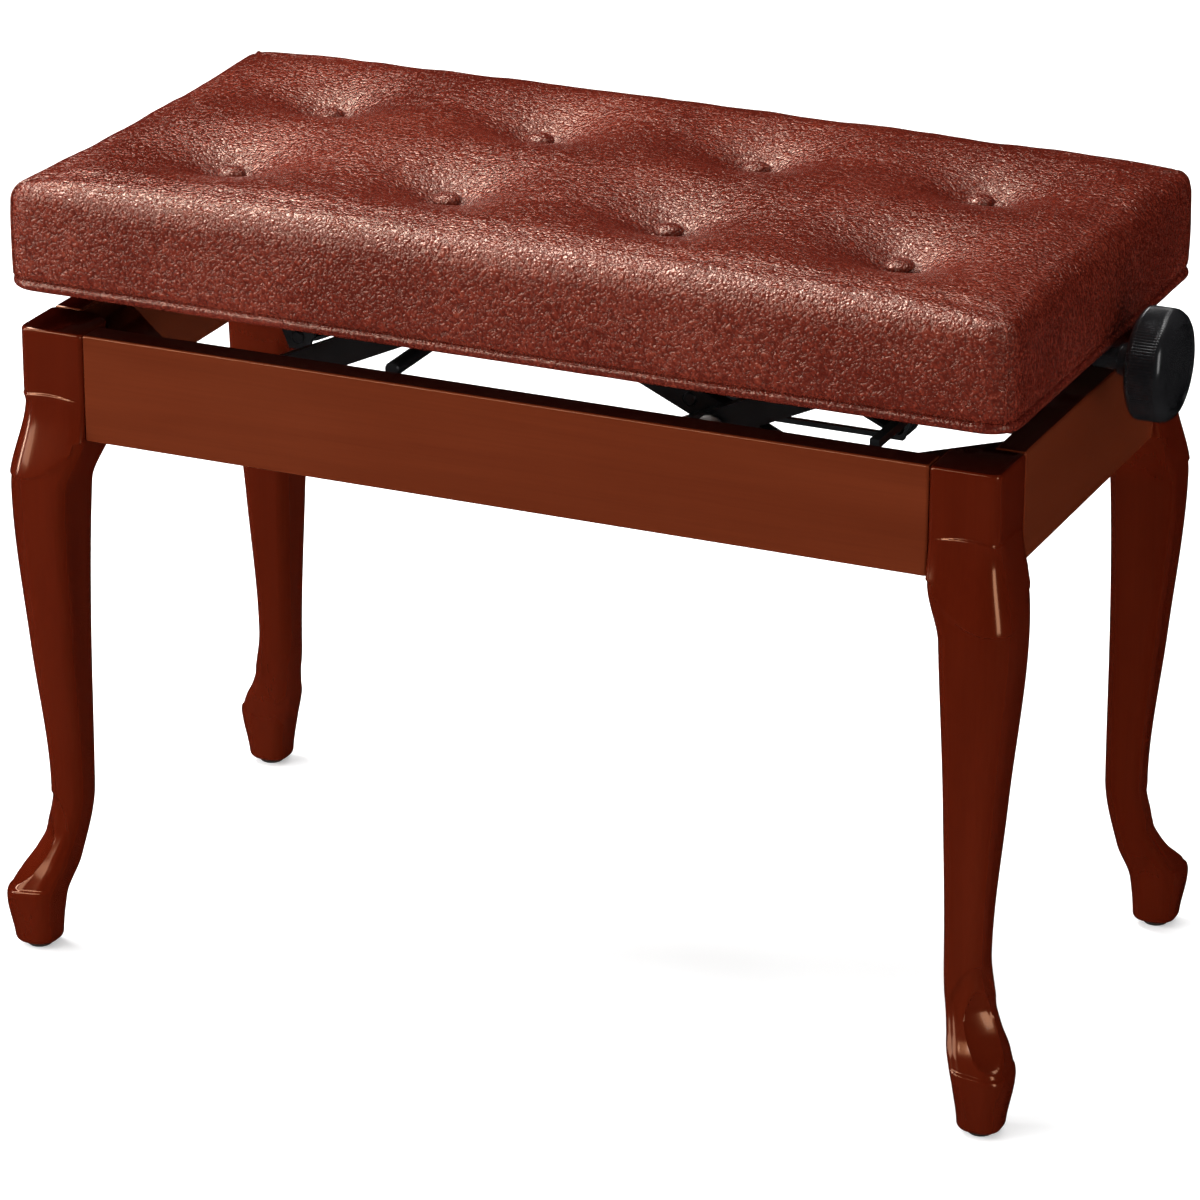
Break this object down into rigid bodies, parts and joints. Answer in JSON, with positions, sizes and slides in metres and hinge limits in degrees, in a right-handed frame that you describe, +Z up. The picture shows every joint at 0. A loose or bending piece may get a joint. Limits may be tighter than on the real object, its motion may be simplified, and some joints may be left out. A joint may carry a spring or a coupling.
{
  "type": "piano bench",
  "caption": "Height-adjustable piano bench: buttoned upholstered seat on a scissor lift with a side knob, over a wooden frame with cabriole legs.",
  "frame": {"origin": "on the floor, under the middle of the whole width (toes to knob) and of the depth", "axes": "+X to the right towards the knob, -Y to the front, +Z up"},
  "size_m": [0.6564, 0.3356, 0.4789],
  "materials": {
    "wood": "gloss",
    "leather": "satin",
    "piping": "satin",
    "plywood": "matte",
    "black_steel": "satin",
    "zinc_steel": "satin",
    "black_plastic": "gloss",
    "glide": "matte"
  },
  "bodies": {
    "base": {"leg_front_left": "wood", "leg_front_right": "wood", "leg_rear_left": "wood", "leg_rear_right": "wood", "apron_front": "wood", "apron_rear": "wood", "apron_left": "wood", "apron_right": "wood", "corner_block_front_left": "wood", "corner_block_front_right": "wood", "corner_block_rear_left": "wood", "corner_block_rear_right": "wood", "leg_bolt_front_left": "zinc_steel", "leg_bolt_front_right": "zinc_steel", "leg_bolt_rear_left": "zinc_steel", "leg_bolt_rear_right": "zinc_steel", "foot_glide_front_left": "glide", "foot_glide_front_right": "glide", "foot_glide_rear_left": "glide", "foot_glide_rear_right": "glide", "base_guide_front": "black_steel", "base_guide_rear": "black_steel", "base_pivot_left_front": "zinc_steel", "base_pivot_left_rear": "zinc_steel", "base_pivot_middle_front": "zinc_steel", "base_pivot_middle_rear": "zinc_steel"},
    "left_arms": {"arm_left_front": "black_steel", "arm_left_rear": "black_steel", "upper_slide_shaft_left": "zinc_steel"},
    "rising_arms": {"arm_rising_front": "black_steel", "arm_rising_rear": "black_steel", "cross_pin_front": "zinc_steel", "cross_pin_rear": "zinc_steel", "upper_slide_shaft_right": "zinc_steel"},
    "falling_arms": {"arm_falling_front": "black_steel", "arm_falling_rear": "black_steel", "falling_arm_tie": "zinc_steel"},
    "seat": {"seat_board": "plywood", "seat_cushion": "leather", "seat_piping": "piping", "seat_angle_front": "black_steel", "seat_angle_rear": "black_steel", "seat_pivot_shaft": "zinc_steel", "seat_tie_rod": "zinc_steel", "bearing_bar": "black_steel", "button_front_1": "leather", "button_front_2": "leather", "button_front_3": "leather", "button_front_4": "leather", "button_rear_1": "leather", "button_rear_2": "leather", "button_rear_3": "leather", "button_rear_4": "leather"},
    "nut_left": {"spindle_nut_left": "zinc_steel"},
    "nut_right": {"spindle_nut_right": "zinc_steel"},
    "knob": {"spindle": "zinc_steel", "thrust_collar_inner": "zinc_steel", "thrust_collar_outer": "zinc_steel", "knob": "black_plastic", "knob_cap": "black_plastic"}
  },
  "joints": [
    {"name": "lift", "type": "hinge", "parent": "base", "child": "rising_arms", "pos_m": [0.02132, 0, 0.331], "axis": [0, -1, 0], "range_deg": [0, 42.54]},
    {"name": "crossing", "type": "hinge", "parent": "rising_arms", "child": "falling_arms", "pos_m": [0.08605, 0, 0.3605], "axis": [0, -1, 0], "range_deg": [-85.08, 0.01]},
    {"name": "seat_level", "type": "hinge", "parent": "falling_arms", "child": "seat", "pos_m": [0.02132, 0, 0.39], "axis": [0, -1, 0], "range_deg": [-0.01, 42.55]},
    {"name": "left_lift", "type": "hinge", "parent": "base", "child": "left_arms", "pos_m": [-0.23158, 0, 0.331], "axis": [0, -1, 0], "range_deg": [-0.01, 42.55]},
    {"name": "nut_left_level", "type": "hinge", "parent": "left_arms", "child": "nut_left", "pos_m": [-0.10212, 0, 0.39], "axis": [0, -1, 0], "range_deg": [-42.55, 0.01]},
    {"name": "nut_right_level", "type": "hinge", "parent": "rising_arms", "child": "nut_right", "pos_m": [0.15078, 0, 0.39], "axis": [0, -1, 0], "range_deg": [-42.55, 0.01]},
    {"name": "knob_turn", "type": "hinge", "parent": "seat", "child": "knob", "pos_m": [-0.01335, 0.015, 0.402], "axis": [1, 0, 0], "range_deg": [-5, 5330]}
  ],
  "couplings": [
    {"joint": "crossing", "follows": "lift", "ratio": -2},
    {"joint": "seat_level", "follows": "lift", "ratio": 1},
    {"joint": "left_lift", "follows": "lift", "ratio": 1},
    {"joint": "nut_left_level", "follows": "lift", "ratio": -1},
    {"joint": "nut_right_level", "follows": "lift", "ratio": -1},
    {"joint": "knob_turn", "follows": "lift", "ratio": 125.18}
  ]
}
